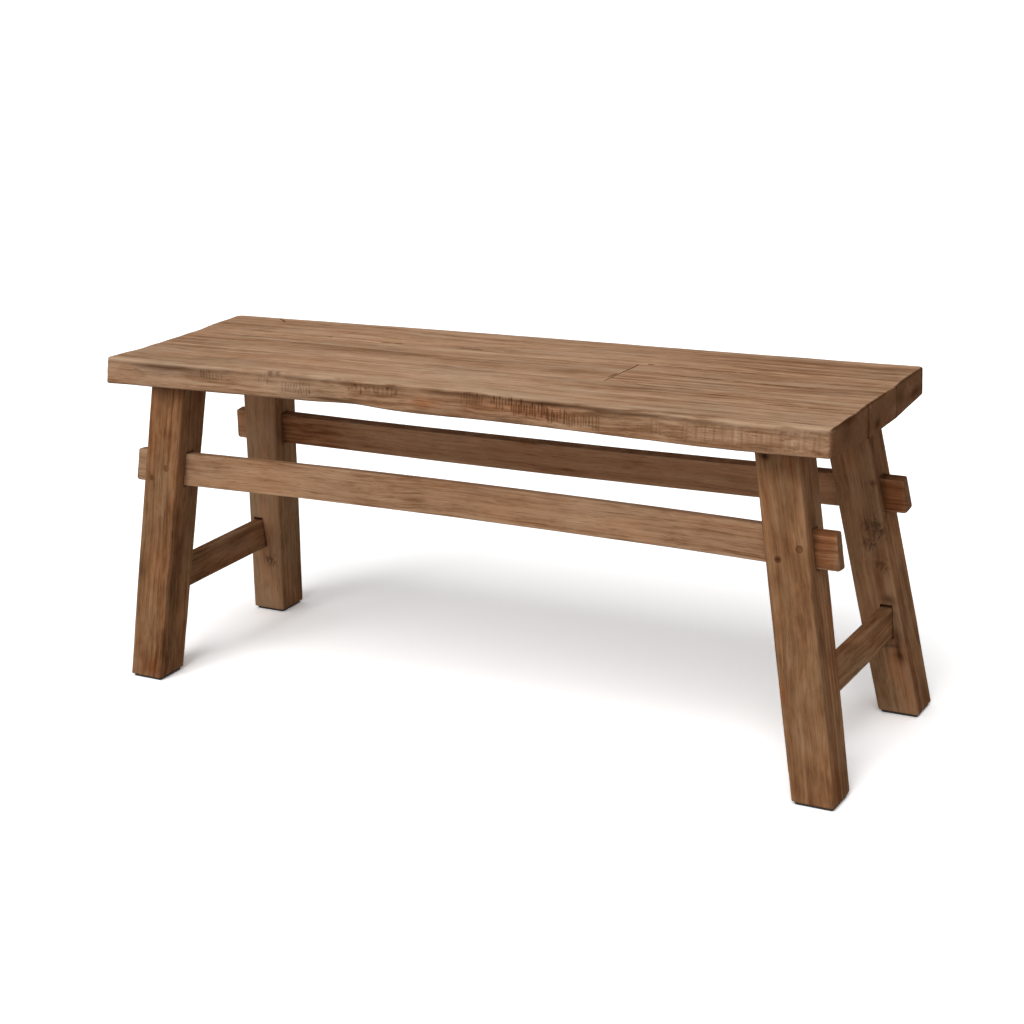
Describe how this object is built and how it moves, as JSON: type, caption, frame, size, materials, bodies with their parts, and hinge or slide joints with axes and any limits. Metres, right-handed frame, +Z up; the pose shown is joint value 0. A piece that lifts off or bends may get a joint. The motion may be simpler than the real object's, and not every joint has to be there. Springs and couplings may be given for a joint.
{
  "type": "rustic bench",
  "caption": "Plank bench with a live front edge, splayed square legs, long through rails pegged in the legs and a low stretcher at each end.",
  "frame": {"origin": "on the floor, at the middle of the rectangle that the four feet span", "axes": "+X along the bench, to the right of someone who faces its live edge; +Y towards its straight back edge; +Z up"},
  "size_m": [1.067, 0.3426, 0.46],
  "materials": {
    "seat_wood": "brown stain worn back to tan on the top and along the arrises, matt wax",
    "frame_wood": "brown stain, matt wax, worn lighter on the front faces",
    "peg_wood": "dark stained end grain",
    "dowel_wood": "bare hardwood, hidden",
    "pad_rubber": "matt black"
  },
  "bodies": {
    "root": {"foot_pad_back_left": "pad_rubber", "foot_pad_back_right": "pad_rubber", "foot_pad_front_left": "pad_rubber", "foot_pad_front_right": "pad_rubber", "leg_back_left": "frame_wood", "leg_back_right": "frame_wood", "leg_front_left": "frame_wood", "leg_front_right": "frame_wood", "rail_back": "frame_wood", "rail_front": "frame_wood", "rail_pegs_back_left": "peg_wood", "rail_pegs_back_right": "peg_wood", "rail_pegs_front_left": "peg_wood", "rail_pegs_front_right": "peg_wood", "seat_back_board": "seat_wood", "seat_dowels_back_seam": "dowel_wood", "seat_dowels_butt_joint": "dowel_wood", "seat_dowels_front_seam": "dowel_wood", "seat_front_board": "seat_wood", "seat_middle_board_long": "seat_wood", "seat_middle_board_short": "seat_wood", "stretcher_left": "frame_wood", "stretcher_right": "frame_wood"}
  },
  "joints": []
}
